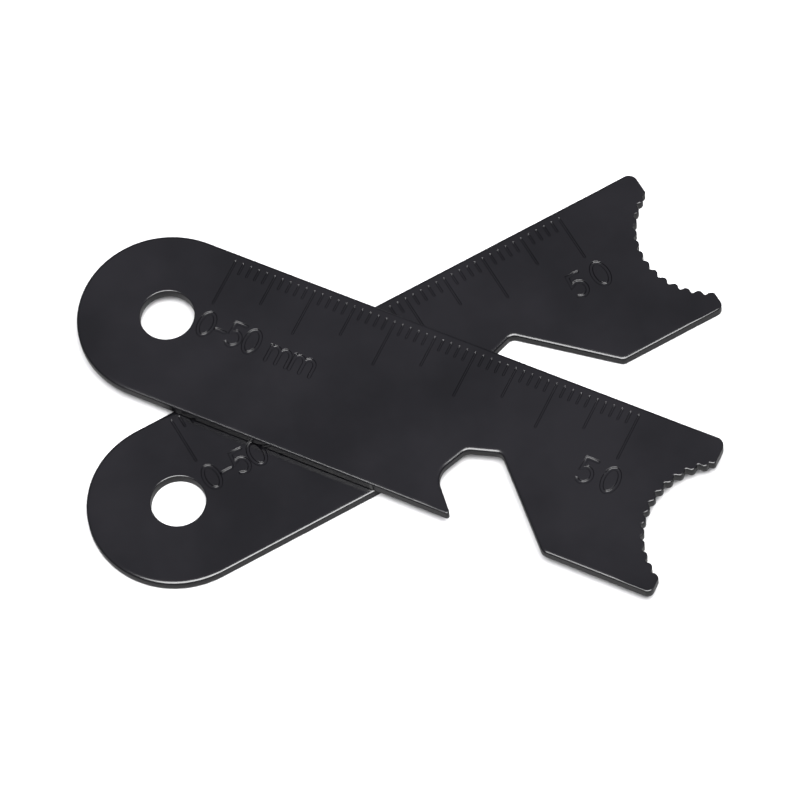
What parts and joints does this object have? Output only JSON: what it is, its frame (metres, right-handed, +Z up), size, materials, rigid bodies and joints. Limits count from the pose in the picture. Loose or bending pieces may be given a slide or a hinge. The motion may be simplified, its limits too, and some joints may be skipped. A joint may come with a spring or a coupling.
{
  "type": "fire striker plate pair",
  "caption": "Pair of flat black stamped steel striker plates lying crossed: lanyard hole, ruler edge, opener notch, toothed hollow end.",
  "frame": {"origin": "on the surface that the pair lies on, under the middle of the pair's bounding box", "axes": "+X across the pair towards the scraper ends, +Y towards the lower plate's scraper end, +Z up through the plates"},
  "size_m": [0.0734, 0.0532, 0.0028],
  "materials": {
    "black_coating": "semi-gloss black coating on stamped steel"
  },
  "bodies": {
    "lower_plate": {"lower_striker_plate": "black_coating"},
    "upper_plate": {"upper_striker_plate": "black_coating"}
  },
  "joints": [
    {"name": "upper_plate_lift", "type": "slide", "parent": "lower_plate", "child": "upper_plate", "axis": [0, 0, 1], "range_m": [0, 0.03]}
  ]
}
